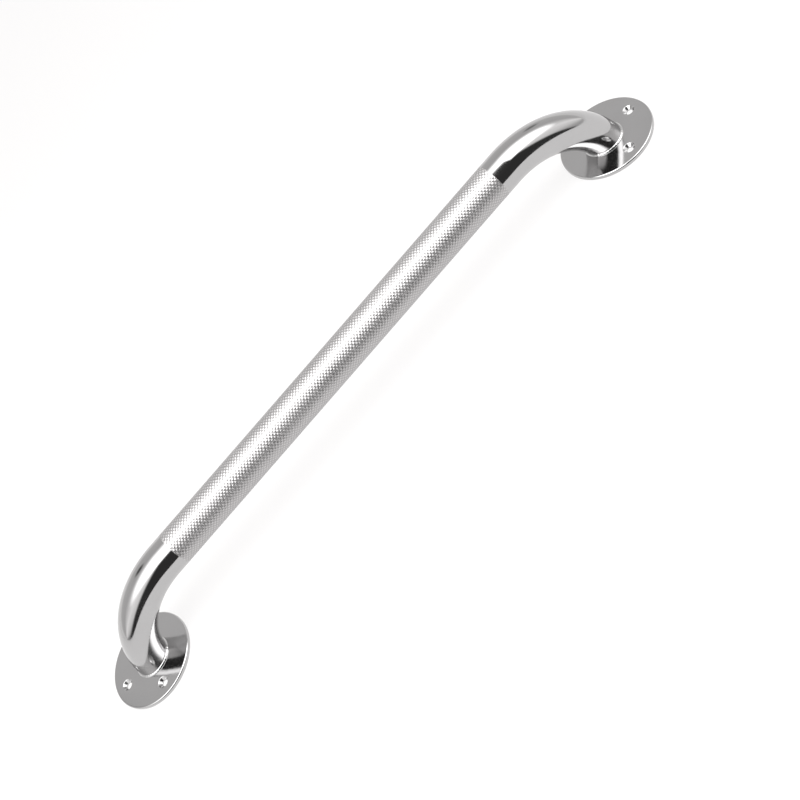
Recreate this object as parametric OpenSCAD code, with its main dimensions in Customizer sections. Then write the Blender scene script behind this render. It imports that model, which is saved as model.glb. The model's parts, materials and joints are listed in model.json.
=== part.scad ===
// Chrome-plated steel grab rail: one bent tube with a straight grip, welded to two round flanges
// that are drilled and countersunk for wood screws.
// Frame: the mounting surface is the plane z = 0, +Z points away from it, +X runs along the rail,
// and the origin is midway between the two flanges on the mounting surface.

/* [Rail] */
// Distance between the flange centres
flange_centres = 457.2; // [304.8:25.4:914.4]
// Outside diameter of the tube
tube_d = 25.4; // [22:0.1:26]
// Wall thickness of the tube
tube_wall = 1.5; // [1:0.1:2.5]
// Clear space between the mounting surface and the straight grip
clearance = 38.1; // [37:0.1:42]
// Radius of each bend, measured at the middle of the tube
bend_r = 66.5; // [64:0.5:90]

/* [Flanges] */
// Outside diameter of a flange
flange_d = 65; // [62:0.5:80]
// Thickness of a flange
flange_t = 2.8; // [2.4:0.1:4]
// Radius of the rounded front edge of a flange
flange_edge_r = 1.1; // [0.2:0.1:1.6]
// How far inboard of the flange's centre the tube meets its front face
foot_inset = 2; // [0:0.1:3]
// Height at which the tube's end stops above the mounting surface
tube_end_gap = 0.6; // [0.2:0.1:1.2]

/* [Screw holes] */
// Diameter of the circle that the hole centres lie on
hole_circle_d = 46; // [44:0.2:50]
// Diameter of the hole for a screw's shank
hole_d = 4.4; // [3.5:0.1:5.5]
// Diameter of the countersink at the front face
sink_d = 8; // [6.5:0.1:8.5]

/* [Welds] */
// Radius of the rounded bead of weld metal round the foot of the tube
weld_r = 1.4; // [0.8:0.1:2]

/* [Hidden] */
$fn = 96;
chrome = [0.80, 0.81, 0.83];
weld_chrome = [0.88, 0.88, 0.90];
axis_z = clearance + tube_d / 2;
flange_x = flange_centres / 2;
foot_x = flange_x - foot_inset;
// Angle that the tube has turned through where its middle meets the flange's front face
foot_angle = acos(1 - (axis_z - flange_t) / bend_r);
straight_half = foot_x - bend_r * sin(foot_angle);
// Depth of the blocks that trim what runs past the mounting surface
trim = 40;
// Three holes, one facing out and one to each side: the tube leans over the fourth place
hole_angles = [-90, 0, 90];
// Depth of a 90-degree countersink from its rim down to the shank hole
sink_depth = (sink_d - hole_d) / 2;
// Middle radius of the slightly oval joint between the tube and the flange
joint_r = tube_d * (1 + 1 / sin(foot_angle)) / 4;
past = 1;

// Solid bar of diameter d round the bend of the +X half, a quarter turn down past the flange
module end_bar(d) {
    translate([straight_half, 0, axis_z - bend_r])
        rotate([90, 0, 0])
            rotate_extrude(angle = 90)
                translate([bend_r, 0])
                    circle(d = d);
}

// Solid bar of diameter d along the +X half of the tube's path, from the middle of the grip
module half_bar(d) {
    translate([0, 0, axis_z])
        rotate([0, 90, 0])
            cylinder(d = d, h = straight_half);
    end_bar(d);
}

// Solid bar of diameter d along the whole path, both ends running on past the mounting surface
module path_bar(d) {
    half_bar(d);
    mirror([1, 0, 0])
        half_bar(d);
}

// A block under height z that trims both ends of the rail
module below(z) {
    translate([-flange_x - flange_d, -flange_d, z - trim])
        cube([2 * (flange_x + flange_d), 2 * flange_d, trim]);
}

// Half section of a flange disc with its front edge rounded
module flange_profile() {
    square([flange_d / 2 - flange_edge_r, flange_t]);
    square([flange_d / 2, flange_t - flange_edge_r]);
    translate([flange_d / 2 - flange_edge_r, flange_t - flange_edge_r])
        circle(r = flange_edge_r);
}

// One countersunk screw hole down the z axis of a flange
module screw_hole() {
    translate([0, 0, -past])
        cylinder(d = hole_d, h = flange_t + 2 * past);
    translate([0, 0, flange_t - sink_depth])
        cylinder(d1 = hole_d, d2 = sink_d + 2 * past, h = sink_depth + past);
}

// Flange at the +X end: a disc bored through to take the slanting end of the tube
module flange() {
    difference() {
        translate([flange_x, 0, 0])
            rotate_extrude()
                flange_profile();
        end_bar(tube_d);
        for (a = hole_angles)
            translate([flange_x, 0, 0])
                rotate([0, 0, a])
                    translate([hole_circle_d / 2, 0, 0])
                        screw_hole();
    }
}

// Bead of weld metal at the +X end, filling the corner between the tube and the flange's face
module weld() {
    difference() {
        translate([foot_x, 0, flange_t])
            rotate_extrude()
                translate([joint_r, 0])
                    circle(r = weld_r);
        end_bar(tube_d);
        below(flange_t);
    }
}

// Tube: a straight grip, a long bend at each end, both ends open inside the flanges
module rail_tube() {
    color(chrome)
        difference() {
            path_bar(tube_d);
            path_bar(tube_d - 2 * tube_wall);
            below(tube_end_gap);
        }
}

module flange_right() {
    color(chrome)
        flange();
}

module flange_left() {
    color(chrome)
        mirror([1, 0, 0])
            flange();
}

module weld_right() {
    color(weld_chrome)
        weld();
}

module weld_left() {
    color(weld_chrome)
        mirror([1, 0, 0])
            weld();
}

rail_tube();
flange_left();
flange_right();
weld_left();
weld_right();
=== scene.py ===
"""Looks for a chrome-plated grab rail with a knurled grip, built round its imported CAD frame."""

import json
import math

import bmesh
import bpy
import numpy as np
from mathutils import Matrix, Vector


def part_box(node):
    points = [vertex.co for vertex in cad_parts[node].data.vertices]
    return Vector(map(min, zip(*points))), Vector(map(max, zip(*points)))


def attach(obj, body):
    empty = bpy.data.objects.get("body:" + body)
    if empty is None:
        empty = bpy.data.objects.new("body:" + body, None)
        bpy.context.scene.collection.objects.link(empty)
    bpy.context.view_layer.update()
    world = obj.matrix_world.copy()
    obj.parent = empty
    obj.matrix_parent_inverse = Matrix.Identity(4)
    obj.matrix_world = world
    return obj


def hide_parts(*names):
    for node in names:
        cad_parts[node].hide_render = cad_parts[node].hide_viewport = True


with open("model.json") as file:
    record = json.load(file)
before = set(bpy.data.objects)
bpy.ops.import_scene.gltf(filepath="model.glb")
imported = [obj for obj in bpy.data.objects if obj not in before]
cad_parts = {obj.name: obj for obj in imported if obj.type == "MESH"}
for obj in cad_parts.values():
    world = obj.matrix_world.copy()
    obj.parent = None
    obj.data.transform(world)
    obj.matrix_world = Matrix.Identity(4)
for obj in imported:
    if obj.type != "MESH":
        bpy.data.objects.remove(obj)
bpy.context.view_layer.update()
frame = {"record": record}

MM = 0.001

# ---------------------------------------------------------------- sizes, from the frame

tube_lo, tube_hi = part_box("rail_tube")
plate_lo, plate_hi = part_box("flange_right")
TUBE_R = tube_hi.y
AXIS_Z = tube_hi.z - TUBE_R
TUBE_END_Z = tube_lo.z
PLATE_X = (plate_lo.x + plate_hi.x) / 2
PLATE_R = (plate_hi.x - plate_lo.x) / 2
PLATE_T = plate_hi.z

mounts = {m["name"]: m for m in frame["record"]["mounts"]}
SIDE_HOLES = mounts["side_screws"]["dims"]
HOLE_R = SIDE_HOLES["hole_r_mm"] * MM
HOLE_CIRCLE_R = SIDE_HOLES["spacing_y_mm"] * MM / 2

# Sizes that the frame's boxes don't give, the same as in the part's source
BEND_R = 66.5 * MM
FOOT_INSET = 2 * MM
TUBE_WALL = 1.5 * MM
SINK_R = 4 * MM
HOLE_ANGLES = (-90, 0, 90)
PLATE_EDGE_R = 1.1 * MM
WELD_R = 1.4 * MM

FOOT_X = PLATE_X - FOOT_INSET
FOOT_ANGLE = math.acos(1 - (AXIS_Z - PLATE_T) / BEND_R)
STRAIGHT_HALF = FOOT_X - BEND_R * math.sin(FOOT_ANGLE)
BEND_Z = AXIS_Z - BEND_R

# Small finishing sizes that only the looks have
BORE_SLACK = 0.02 * MM
BACK_EDGE_R = 0.25 * MM
SINK_LIP = 0.2 * MM
WELD_DRESSED = 0.86
WELD_SUNK = 0.15
WELD_RIPPLES = 44
WELD_RIPPLE_DEPTH = 0.045 * MM

# Diamond knurl: crossed grooves, each diamond a little wider than it is long
KNURL_HALF = 152.4 * MM
KNURL_STARTS = 28
KNURL_ROWS = 115
KNURL_DEPTH = 0.33 * MM
KNURL_STEPS = 6
KNURL_FADE = 1.6 * MM

# ---------------------------------------------------------------- mesh helpers


def edit_mesh(mesh, change):
    """Lets `change` work on the mesh as a bmesh."""
    work = bmesh.new()
    work.from_mesh(mesh)
    change(work)
    work.to_mesh(mesh)
    work.free()


def mesh_object(name, verts, faces, smooth=True):
    """A mesh object from vertex and face lists, its faces turned outwards and shaded smooth."""
    mesh = bpy.data.meshes.new(name)
    mesh.from_pydata([tuple(v) for v in verts], [], [tuple(f) for f in faces])
    edit_mesh(mesh, lambda work: bmesh.ops.recalc_face_normals(work, faces=work.faces))
    mesh.polygons.foreach_set("use_smooth", [smooth] * len(mesh.polygons))
    obj = bpy.data.objects.new(name, mesh)
    bpy.context.scene.collection.objects.link(obj)
    return obj


def grid_faces(rows, cols, start=0, flip=False):
    """Quads of a rows x cols vertex grid that closes round its columns."""
    faces = []
    for i in range(rows - 1):
        for j in range(cols):
            k = (j + 1) % cols
            quad = [start + i * cols + j, start + i * cols + k]
            quad += [start + (i + 1) * cols + k, start + (i + 1) * cols + j]
            faces.append(quad[::-1] if flip else quad)
    return faces


def mirrored(obj, name):
    """A copy of obj reflected in the plane x = 0, with its faces turned the right way out."""
    mesh = obj.data.copy()
    mesh.name = name
    mesh.transform(Matrix.Diagonal((-1, 1, 1, 1)))
    mesh.flip_normals()
    twin = bpy.data.objects.new(name, mesh)
    bpy.context.scene.collection.objects.link(twin)
    return twin


def apply_modifiers(obj):
    """Replaces the object's mesh with its evaluated one and drops the modifiers."""
    evaluated = obj.evaluated_get(bpy.context.evaluated_depsgraph_get())
    mesh = bpy.data.meshes.new_from_object(evaluated)
    obj.modifiers.clear()
    obj.data = mesh


# ---------------------------------------------------------------- polished tube ends


def bend_point(angle, around, radius):
    """A point of the +X bend: `angle` along the bend from its start, `around` from its outer side."""
    reach = BEND_R + radius * math.cos(around)
    x = STRAIGHT_HALF + reach * math.sin(angle)
    return (x, radius * math.sin(around), BEND_Z + reach * math.cos(angle))


def straight_point(x, around, radius):
    """A point of the straight grip's wall at x, `around` measured from the top."""
    return (x, radius * math.sin(around), AXIS_Z + radius * math.cos(around))


def end_wall(radius, sections, along, stub):
    """Rings of one wall of the tube's +X end, from the knurl to the level cut inside the flange."""
    rings = []
    for i in range(stub):
        x = KNURL_HALF + (STRAIGHT_HALF - KNURL_HALF) * i / stub
        rings += [straight_point(x, 2 * math.pi * j / sections, radius) for j in range(sections)]
    for i in range(along + 1):
        for j in range(sections):
            around = 2 * math.pi * j / sections
            reach = BEND_R + radius * math.cos(around)
            last = math.acos((TUBE_END_Z - BEND_Z) / reach)
            rings.append(bend_point(last * i / along, around, radius))
    return rings


def tube_end(name):
    """Smooth hollow end of the tube on the +X side: stub, bend and the cut end in the flange."""
    sections, along, stub = 160, 96, 8
    outer = end_wall(TUBE_R, sections, along, stub)
    inner = end_wall(TUBE_R - TUBE_WALL, sections, along, stub)
    rows = stub + along + 1
    faces = grid_faces(rows, sections)
    faces += grid_faces(rows, sections, start=len(outer), flip=True)
    for row in (0, rows - 1):
        for j in range(sections):
            k = (j + 1) % sections
            a, b = row * sections + j, row * sections + k
            quad = [a, b, b + len(outer), a + len(outer)]
            faces.append(quad[::-1] if row == 0 else quad)
    obj = mesh_object(name, outer + inner, faces)
    obj.data.set_sharp_from_angle(angle=math.radians(40))
    return obj


# ---------------------------------------------------------------- knurled grip


def knurl_height(u, v, x):
    """How far the surface is pressed in at lattice place (u, v): rounded diamonds, sharp grooves."""
    ridge = np.abs(np.sin(math.pi * (u + v)) * np.sin(math.pi * (u - v)))
    fade = np.clip((KNURL_HALF - np.abs(x)) / KNURL_FADE, 0, 1)
    return KNURL_DEPTH * (1 - ridge) * fade**0.5


def knurled_half(name, first_row, last_row):
    """Half of the knurled grip as a closed hollow sleeve, its edges laid along the grooves."""
    cols = KNURL_STARTS * KNURL_STEPS
    rows = np.arange(first_row, last_row + 1)
    x = (rows / (KNURL_ROWS * KNURL_STEPS) - 0.5) * 2 * KNURL_HALF
    i, j = np.meshgrid(rows, np.arange(cols), indexing="ij")
    xs = np.repeat(x[:, None], cols, axis=1)
    radius = TUBE_R - knurl_height(j / KNURL_STEPS, i / KNURL_STEPS, xs)
    around = 2 * math.pi * j / cols
    outer = np.stack([xs, radius * np.sin(around), AXIS_Z + radius * np.cos(around)], axis=-1)
    bore = TUBE_R - TUBE_WALL
    caps = np.stack([x[[0, -1]]] * cols, axis=1)
    turn = np.repeat(around[:1], 2, axis=0)
    inner = np.stack([caps, bore * np.sin(turn), AXIS_Z + bore * np.cos(turn)], axis=-1)
    faces = []
    for r in range(len(rows) - 1):
        for c in range(cols):
            k = (c + 1) % cols
            a, b = r * cols + c, r * cols + k
            d, e = a + cols, b + cols
            if (r + first_row + c + 1) % KNURL_STEPS == 0:
                faces += [(a, b, d), (b, e, d)]
            else:
                faces += [(a, b, e), (a, e, d)]
    near = len(rows) * cols
    far, end = near + cols, near - cols
    for c in range(cols):
        k = (c + 1) % cols
        faces.append((near + c, far + c, far + k, near + k))
        faces.append((c, near + c, near + k, k))
        faces.append((end + c, end + k, far + k, far + c))
    verts = np.concatenate([outer.reshape(-1, 3), inner.reshape(-1, 3)])
    obj = mesh_object(name, verts.tolist(), faces)
    obj.data.set_sharp_from_angle(angle=math.radians(70))
    return obj


# ---------------------------------------------------------------- flanges


def lathe(name, profile, sections):
    """Solid of revolution about z: profile is a list of (radius, height), from bottom to top.

    It starts half a step off the axis, so that the seams of two solids never fall on each other.
    """
    verts = []
    for radius, height in profile:
        for j in range(sections):
            a = 2 * math.pi * (j + 0.5) / sections
            verts.append((radius * math.cos(a), radius * math.sin(a), height))
    faces = grid_faces(len(profile), sections)
    faces.append(list(range(sections))[::-1])
    top = (len(profile) - 1) * sections
    faces.append([top + j for j in range(sections)])
    return mesh_object(name, verts, faces)


def plate_profile():
    """Outline of the disc: a small arc breaks the back edge, and a larger one rounds the front."""
    points = []
    for radius, height, start, steps in (
        (BACK_EDGE_R, BACK_EDGE_R, -90, 4),
        (PLATE_EDGE_R, PLATE_T - PLATE_EDGE_R, 0, 20),
    ):
        for i in range(steps + 1):
            a = math.radians(start + 90 * i / steps)
            points.append((PLATE_R - radius + radius * math.cos(a), height + radius * math.sin(a)))
    return points


def sink_cutter(name, centre):
    """Cutter of one screw hole: shank hole, 90-degree cone and a softened lip at the face."""
    depth, past = SINK_R - HOLE_R, 1 * MM
    sections, steps = 96, 6
    profile = [(HOLE_R, -past), (HOLE_R, PLATE_T - depth)]
    for i in range(steps):
        t = i / steps
        drop = SINK_LIP * (1 - t) ** 2
        profile.append((SINK_R - drop + SINK_LIP * t**2, PLATE_T - drop))
    profile.append((SINK_R + SINK_LIP, PLATE_T + past))
    obj = lathe(name, profile, sections)
    obj.location = centre
    return obj


def foot_cutter(name):
    """Cutter for the oval opening that takes the slanting end of the tube."""
    sections, along = 128, 40
    before, after = math.radians(16), math.radians(14)
    first, last = FOOT_ANGLE - before, FOOT_ANGLE + after
    verts = []
    for i in range(along + 1):
        angle = first + (last - first) * i / along
        for j in range(sections):
            verts.append(bend_point(angle, 2 * math.pi * j / sections, TUBE_R + BORE_SLACK))
    faces = grid_faces(along + 1, sections)
    faces.append(list(range(sections))[::-1])
    faces.append([along * sections + j for j in range(sections)])
    return mesh_object(name, verts, faces)


def subtract(body, cutters):
    """Cuts each cutter out of the body, joins doubled vertices and removes the cutters."""
    for cutter in cutters:
        cut = body.modifiers.new("cut", "BOOLEAN")
        cut.operation = "DIFFERENCE"
        cut.solver = "EXACT"
        cut.object = cutter
    bpy.context.view_layer.update()
    apply_modifiers(body)
    weld_gap = 0.002 * MM
    edit_mesh(body.data, lambda work: bmesh.ops.remove_doubles(work, verts=work.verts, dist=weld_gap))
    for cutter in cutters:
        bpy.data.objects.remove(cutter)


def plate(name):
    """The +X flange: a round-edged disc with three countersunk holes and the tube's opening."""
    sections, level = 256, 0.9999
    obj = lathe(name, plate_profile(), sections)
    obj.data.transform(Matrix.Translation((PLATE_X, 0, 0)))
    cutters = [foot_cutter("foot_cutter")]
    for angle in HOLE_ANGLES:
        a = math.radians(angle)
        centre = (PLATE_X + HOLE_CIRCLE_R * math.cos(a), HOLE_CIRCLE_R * math.sin(a), 0)
        cutters.append(sink_cutter("sink_cutter", centre))
    subtract(obj, cutters)
    for face in obj.data.polygons:
        face.use_smooth = abs(face.normal.z) < level
    obj.data.set_sharp_from_angle(angle=math.radians(24))
    return obj


# ---------------------------------------------------------------- weld beads


def weld_bead(name):
    """Small dressed fillet round the foot of the +X end, with the faint ripple of its runs."""
    around_steps, arc_steps = 220, 10
    verts = []
    for j in range(around_steps):
        around = 2 * math.pi * j / around_steps
        size = WELD_R * WELD_DRESSED + WELD_RIPPLE_DEPTH * math.cos(WELD_RIPPLES * around)
        reach = BEND_R + TUBE_R * math.cos(around)
        at_plate = math.acos((PLATE_T - BEND_Z) / reach)
        corner = Vector(bend_point(at_plate, around, TUBE_R))
        up = Vector(bend_point(at_plate - size / reach, around, TUBE_R)) - corner
        out = Vector((math.cos(around), math.sin(around), 0)) * size
        for i in range(arc_steps + 1):
            a = math.pi / 2 * i / arc_steps
            bulge = 0.93 + 0.07 * math.cos(4 * a)
            verts.append(corner + out * (math.cos(a) * bulge) + up * (math.sin(a) * bulge))
        verts.append(corner - out * WELD_SUNK - up * WELD_SUNK)
    cols = arc_steps + 2
    faces = []
    for j in range(around_steps):
        k = (j + 1) % around_steps
        for i in range(cols):
            n = (i + 1) % cols
            faces.append((j * cols + i, k * cols + i, k * cols + n, j * cols + n))
    obj = mesh_object(name, verts, faces)
    obj.data.set_sharp_from_angle(angle=math.radians(50))
    return obj


# ---------------------------------------------------------------- chrome materials

# Size of each texture (larger is finer), and how far the cloudy polish moves the tint
CLOUD_SCALE = 45
WAVE_SCALE = 28
LINE_SCALE = 900
CLOUD_RANGE = (0.35, 0.75)
CLOUD_TINTS = (0.94, 1.05)
# Painted shade in the knurl's grooves: the dark grey the colour goes to, and where the groove mask fades
# it in
GROOVE_PAINTED_SHADE = (0.38, 0.372, 0.372, 1)
GROOVE_SHADE_EDGE = (0.05, 0.75)


class Formula:
    """Writes arithmetic into a node tree, one Math node for each step."""

    def __init__(self, tree):
        self.tree = tree

    def calc(self, kind, *values):
        """The result of one step, from sockets or plain numbers."""
        node = self.tree.nodes.new("ShaderNodeMath")
        node.operation = kind
        for socket, value in zip(node.inputs, values):
            if isinstance(value, (int, float)):
                socket.default_value = value
            else:
                self.tree.links.new(value, socket)
        return node.outputs["Value"]

    def fade(self, value, start, end):
        """1 up to `start`, 0 from `end` on, smooth between."""
        node = self.tree.nodes.new("ShaderNodeMapRange")
        node.interpolation_type = "SMOOTHSTEP"
        node.inputs["From Min"].default_value = start
        node.inputs["From Max"].default_value = end
        node.inputs["To Min"].default_value = 1
        node.inputs["To Max"].default_value = 0
        self.tree.links.new(value, node.inputs["Value"])
        return node.outputs["Result"]

    def blend(self, level, target, mask):
        """The level moved towards `target` by the mask."""
        step = self.calc("MULTIPLY", mask, self.calc("SUBTRACT", target, level))
        return self.calc("ADD", level, step)

    def ellipse(self, a, b, centre, size):
        """Distance of (a, b) from the centre, 1 on the ellipse of that size."""
        across = self.calc("DIVIDE", self.calc("SUBTRACT", a, centre[0]), size[0])
        upright = self.calc("DIVIDE", self.calc("SUBTRACT", b, centre[1]), size[1])
        upright_square = self.calc("MULTIPLY", upright, upright)
        return self.calc("SQRT", self.calc("MULTIPLY_ADD", across, across, upright_square))


def noise(tree, scale, detail, vector):
    """The height of a noise texture laid over the vector."""
    node = tree.nodes.new("ShaderNodeTexNoise")
    node.inputs["Scale"].default_value = scale
    node.inputs["Detail"].default_value = detail
    tree.links.new(vector, node.inputs["Vector"])
    return node.outputs["Fac"]


def bump(tree, height, distance):
    """A bump node for the height, `distance` deep."""
    node = tree.nodes.new("ShaderNodeBump")
    node.inputs["Strength"].default_value = 1
    node.inputs["Distance"].default_value = distance
    tree.links.new(height, node.inputs["Height"])
    return node


def chrome(name, colour, rough_low, rough_high, wave_height, grain_height, streak=(1, 1, 1)):
    """Chrome plate: a tinted mirror with cloudy polish, a slight wave and fine polishing lines."""
    mat = bpy.data.materials.new(name)
    mat.use_nodes = True
    tree = mat.node_tree
    nodes, links = tree.nodes, tree.links
    shader = nodes["Principled BSDF"]
    shader.inputs["Metallic"].default_value = 1.0
    place = nodes.new("ShaderNodeTexCoord").outputs["Object"]

    stretch = nodes.new("ShaderNodeMapping")
    stretch.inputs["Scale"].default_value = streak
    links.new(place, stretch.inputs["Vector"])

    cloud = noise(tree, CLOUD_SCALE, 5, place)
    tint = nodes.new("ShaderNodeMixRGB")
    for socket, strength in zip(("Color1", "Color2"), CLOUD_TINTS):
        tint.inputs[socket].default_value = (*[c * strength for c in colour], 1)
    links.new(cloud, tint.inputs["Fac"])
    links.new(tint.outputs["Color"], shader.inputs["Base Color"])

    polish = nodes.new("ShaderNodeMapRange")
    polish.inputs["From Min"].default_value = CLOUD_RANGE[0]
    polish.inputs["From Max"].default_value = CLOUD_RANGE[1]
    polish.inputs["To Min"].default_value = rough_low
    polish.inputs["To Max"].default_value = rough_high
    links.new(cloud, polish.inputs["Value"])
    links.new(polish.outputs["Result"], shader.inputs["Roughness"])

    slow = bump(tree, noise(tree, WAVE_SCALE, 1, place), wave_height)
    fine = bump(tree, noise(tree, LINE_SCALE, 3, stretch.outputs["Vector"]), grain_height)
    links.new(slow.outputs["Normal"], fine.inputs["Normal"])
    links.new(fine.outputs["Normal"], shader.inputs["Normal"])
    return mat


def tube_chrome():
    """The polished tube ends, with their polishing lines along the rail."""
    return chrome("tube_chrome", (0.470, 0.466, 0.467), 0.07, 0.14, 0.06 * MM, 0.0006 * MM, (0.15, 1, 1))


def knurl_chrome_groove_shade():
    """Chrome over the knurl: satin on the pressed diamonds, with painted shade darkening the colour down
    in the grooves.
    """
    mat = chrome("knurl_chrome_groove_shade", (0.565, 0.556, 0.557), 0.42, 0.50, 0.01 * MM, 0.0015 * MM)
    nodes, links = mat.node_tree.nodes, mat.node_tree.links
    shader = nodes["Principled BSDF"]
    form = Formula(mat.node_tree)
    split = nodes.new("ShaderNodeSeparateXYZ")
    links.new(nodes.new("ShaderNodeTexCoord").outputs["Object"], split.inputs["Vector"])
    x, y, z = split.outputs
    turn = form.calc("ARCTAN2", y, form.calc("SUBTRACT", z, AXIS_Z))
    u = form.calc("MULTIPLY", turn, KNURL_STARTS / 2)
    v = form.calc("MULTIPLY", form.calc("ADD", x, KNURL_HALF), math.pi * KNURL_ROWS / (2 * KNURL_HALF))
    one_way = form.calc("ABSOLUTE", form.calc("SINE", form.calc("ADD", u, v)))
    other_way = form.calc("ABSOLUTE", form.calc("SINE", form.calc("SUBTRACT", u, v)))
    # Painted shade: the base colour is pulled towards dark grey at the bottom of each groove
    groove_shade = form.fade(form.calc("MINIMUM", one_way, other_way), *GROOVE_SHADE_EDGE)
    plain = shader.inputs["Base Color"].links[0].from_socket
    painted_groove_shade = nodes.new("ShaderNodeMixRGB")
    painted_groove_shade.inputs["Color2"].default_value = GROOVE_PAINTED_SHADE
    links.new(groove_shade, painted_groove_shade.inputs["Fac"])
    links.new(plain, painted_groove_shade.inputs["Color1"])
    links.new(painted_groove_shade.outputs["Color"], shader.inputs["Base Color"])
    return mat


def flange_chrome():
    """The flanges, flatter and a little duller than the tube."""
    return chrome("flange_chrome", (0.490, 0.487, 0.488), 0.10, 0.17, 0.02 * MM, 0.0004 * MM, (1, 0.2, 1))


def weld_chrome():
    """The dressed weld, brighter and more uneven than what it joins."""
    return chrome("weld_chrome", (0.600, 0.597, 0.595), 0.06, 0.16, 0.05 * MM, 0.002 * MM)


# ---------------------------------------------------------------- the object


def keep(obj, node, material):
    """Gives one piece its finish, hangs it on the root body and hides the CAD node it stands for."""
    obj.data.materials.clear()
    obj.data.materials.append(material)
    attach(obj, "root")
    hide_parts(node)


def build_rail():
    """The tube's four pieces: a knurled half and a polished end on each side."""
    smooth, knurled = tube_chrome(), knurl_chrome_groove_shade()
    right = tube_end("tube_end_right")
    left = mirrored(right, "tube_end_left")
    keep(right, "rail_tube", smooth)
    keep(left, "rail_tube", smooth)
    middle, last = KNURL_ROWS * KNURL_STEPS // 2, KNURL_ROWS * KNURL_STEPS
    keep(knurled_half("knurled_grip_left", 0, middle), "rail_tube", knurled)
    keep(knurled_half("knurled_grip_right", middle, last), "rail_tube", knurled)


def build_flanges():
    """A plate and a weld bead at each end."""
    finish, weld_finish = flange_chrome(), weld_chrome()
    right = plate("plate_right")
    bead = weld_bead("bead_right")
    for obj, twin, kind, slot, material in (
        (right, "plate_left", "flange", "polished_flange", finish),
        (bead, "bead_left", "weld", "polished_weld", weld_finish),
    ):
        keep(mirrored(obj, twin), kind + "_left", material)
        keep(obj, kind + "_right", material)


# ---------------------------------------------------------------- camera, floor and light

CAMERA_PLACE = Vector((0.0243, -0.5061, 0.4999))
CAMERA_AHEAD = Vector((-0.0201, 0.7012, -0.7127))
CAMERA_RIGHT = Vector((0.6570, -0.5281, -0.5381))
CAMERA_CLIP = 0.01
FOCAL_MM = 48.41
SENSOR_MM = 36


def add_camera():
    """The photograph's viewpoint, from the fit that gave the rail its size."""
    data = bpy.data.cameras.new("camera")
    data.lens, data.sensor_width = FOCAL_MM, SENSOR_MM
    data.clip_start = CAMERA_CLIP
    camera = bpy.data.objects.new("camera", data)
    ahead = CAMERA_AHEAD.normalized()
    right = (CAMERA_RIGHT - ahead * CAMERA_RIGHT.dot(ahead)).normalized()
    up = right.cross(ahead)
    camera.matrix_world = Matrix((
        (right.x, up.x, -ahead.x, CAMERA_PLACE.x),
        (right.y, up.y, -ahead.y, CAMERA_PLACE.y),
        (right.z, up.z, -ahead.z, CAMERA_PLACE.z),
        (0, 0, 0, 1),
    ))
    bpy.context.scene.collection.objects.link(camera)
    bpy.context.scene.camera = camera


FLOOR_EDGE = -0.30
FLOOR_SIZE = 6.0
FLOOR_DROP = 0.3 * MM
FLOOR_GREY = 0.17
FLOOR_GLOW = 0.82
FLOOR_TINT = (1.0, 0.99, 0.988, 1)


def add_floor():
    """White floor with a soft glow of its own; the chrome sees it end a little in front of the rail."""
    size = FLOOR_SIZE
    mat = bpy.data.materials.new("pale_floor")
    mat.use_nodes = True
    shader = mat.node_tree.nodes["Principled BSDF"]
    shader.inputs["Base Color"].default_value = (FLOOR_GREY, FLOOR_GREY, FLOOR_GREY, 1)
    shader.inputs["Roughness"].default_value = 0.9
    shader.inputs["Specular IOR Level"].default_value = 0.0
    shader.inputs["Emission Color"].default_value = FLOOR_TINT
    shader.inputs["Emission Strength"].default_value = FLOOR_GLOW
    for name, near, far in (("floor", FLOOR_EDGE, size), ("floor_in_front", -size, FLOOR_EDGE)):
        corners = ((-size, near), (size, near), (size, far), (-size, far))
        verts = [(x, y, -FLOOR_DROP) for x, y in corners]
        floor = mesh_object(name, verts, [(0, 1, 2, 3)], smooth=False)
        floor.data.materials.append(mat)
        floor.visible_glossy = near == FLOOR_EDGE


LIGHT_HEIGHT = 0.65
LIGHT_CARD = 1.6
LIGHT_CENTRE = (0.15, -0.22)
LIGHT_SIZE = (1.45, 0.46)
LIGHT_FADE = (0.15, 1.12)
LIGHT_LEVEL = 5.0
# The gap's two straight-sided outlines: the place of its corner along x, its slope and its edge
GAP_OUTLINES = ((0.0, -0.45, -0.42), (0.25, -3.0, -0.14))
GAP_FADE = (-0.16, 0.0)


def add_softbox():
    """Wide overhead light with soft edges and a gap over the camera's stand, seen only by the rail."""
    corners = ((-1, -1), (-1, 1), (1, 1), (1, -1))
    verts = [(x * LIGHT_CARD, y * LIGHT_CARD, LIGHT_HEIGHT) for x, y in corners]
    card = mesh_object("softbox", verts, [(0, 1, 2, 3)], smooth=False)
    mat = bpy.data.materials.new("softbox_light")
    mat.use_nodes = True
    tree = mat.node_tree
    tree.nodes.remove(tree.nodes["Principled BSDF"])
    form = Formula(tree)
    split = tree.nodes.new("ShaderNodeSeparateXYZ")
    tree.links.new(tree.nodes.new("ShaderNodeTexCoord").outputs["Object"], split.inputs["Vector"])
    x, y, _ = split.outputs
    spread = form.fade(form.ellipse(x, y, LIGHT_CENTRE, LIGHT_SIZE), *LIGHT_FADE)
    outlines = []
    for corner, slope, edge in GAP_OUTLINES:
        away = form.calc("ABSOLUTE", form.calc("SUBTRACT", x, corner))
        outlines.append(form.calc("MULTIPLY_ADD", away, slope, edge))
    past = form.calc("SUBTRACT", form.calc("MAXIMUM", *outlines), y)
    mask = form.calc("MULTIPLY", spread, form.fade(past, *GAP_FADE))
    glow = tree.nodes.new("ShaderNodeEmission")
    glow.inputs["Strength"].default_value = LIGHT_LEVEL
    mix = tree.nodes.new("ShaderNodeMixShader")
    tree.links.new(mask, mix.inputs["Fac"])
    tree.links.new(tree.nodes.new("ShaderNodeBsdfTransparent").outputs["BSDF"], mix.inputs[1])
    tree.links.new(glow.outputs["Emission"], mix.inputs[2])
    tree.links.new(mix.outputs["Shader"], tree.nodes["Material Output"].inputs["Surface"])
    card.data.materials.append(mat)
    card.visible_camera = False
    card.visible_shadow = False


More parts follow.
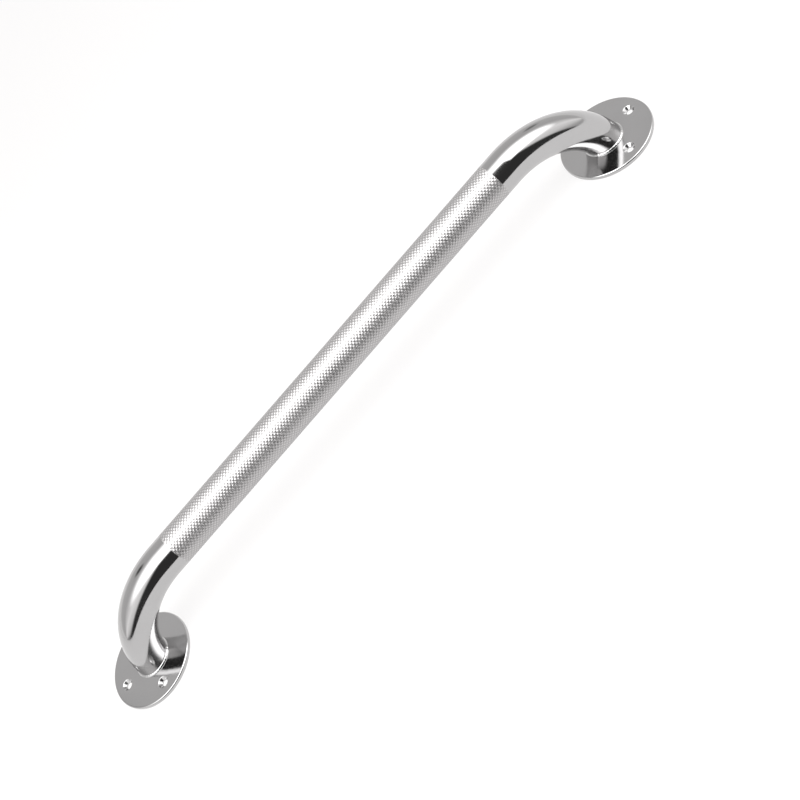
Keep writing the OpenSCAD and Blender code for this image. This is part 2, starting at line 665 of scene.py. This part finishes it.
# The room by direction: places along the rail run from -1 to 1, and a lean is in degrees from
# straight up towards the camera's side. The backdrop is a list of leans and brightnesses.
BACKDROP = (
    (-90, 1.1), (-82, 1.0), (-72, 0.76), (-30, 0.70), (0, 1.0), (40, 1.4), (70, 1.1), (90, 0.60),
)
ROOM_LEVEL = 0.05
# Where the white backdrop shows: its middle along the rail, its reach to each side, and in degrees
DOORWAY_MIDDLE = 0.12
DOORWAY_RIGHT = 0.62
DOORWAY_LEFT = 1.05
DOORWAY_REACH = 80.0
DOORWAY_FADE = (0.95, 1.15)
# Dark stands before the backdrop: centre, size and brightness
STANDS = (((-0.50, -40), (0.07, 9), 0.12), ((0.66, -52), (0.06, 9), 0.30))
STAND_FADE = (0.5, 1.6)
WALL_TINT = (1.0, 0.99, 0.985, 1)
PLAIN_LEVEL = 0.93


def add_walls():
    """The room that the chrome reflects, a pale backdrop and dark walls; the camera sees plain white."""
    world = bpy.data.worlds.new("studio")
    bpy.context.scene.world = world
    world.use_nodes = True
    nodes, links = world.node_tree.nodes, world.node_tree.links
    back = nodes["Background"]
    form = Formula(world.node_tree)
    split = nodes.new("ShaderNodeSeparateXYZ")
    links.new(nodes.new("ShaderNodeTexCoord").outputs["Generated"], split.inputs["Vector"])
    along, y, z = split.outputs
    lean = form.calc("DEGREES", form.calc("ARCTAN2", form.calc("MULTIPLY", y, -1.0), z))

    ramp = nodes.new("ShaderNodeValToRGB")
    links.new(form.calc("MULTIPLY_ADD", lean, 1 / 180, 0.5), ramp.inputs["Fac"])
    stops = ramp.color_ramp.elements
    for i, (degrees, level) in enumerate(BACKDROP):
        place = degrees / 180 + 0.5
        stop = stops[i] if i < 2 else stops.new(place)
        stop.position = place
        stop.color = (level, level, level, 1)

    right = form.calc("DIVIDE", form.calc("SUBTRACT", along, DOORWAY_MIDDLE), DOORWAY_RIGHT)
    left = form.calc("DIVIDE", form.calc("SUBTRACT", DOORWAY_MIDDLE, along), DOORWAY_LEFT)
    above = form.calc("DIVIDE", form.calc("SUBTRACT", 90.0, lean), DOORWAY_REACH)
    doorway = form.calc("ADD", form.calc("MAXIMUM", right, left), above)
    level = form.blend(ramp.outputs["Color"], ROOM_LEVEL, form.fade(doorway, *DOORWAY_FADE))
    for centre, size, dark in STANDS:
        stand = form.fade(form.ellipse(along, lean, centre, size), *STAND_FADE)
        level = form.blend(level, dark, stand)
    links.new(level, back.inputs["Strength"])
    back.inputs["Color"].default_value = WALL_TINT

    plain = nodes.new("ShaderNodeBackground")
    plain.inputs["Color"].default_value = (PLAIN_LEVEL, PLAIN_LEVEL, PLAIN_LEVEL, 1)
    seen = nodes.new("ShaderNodeLightPath").outputs["Is Camera Ray"]
    mix = nodes.new("ShaderNodeMixShader")
    links.new(seen, mix.inputs["Fac"])
    links.new(back.outputs["Background"], mix.inputs[1])
    links.new(plain.outputs["Background"], mix.inputs[2])
    links.new(mix.outputs["Shader"], nodes["World Output"].inputs["Surface"])


add_camera()
build_rail()
build_flanges()
add_floor()
add_softbox()
add_walls()
bpy.context.scene.view_settings.view_transform = "Standard"
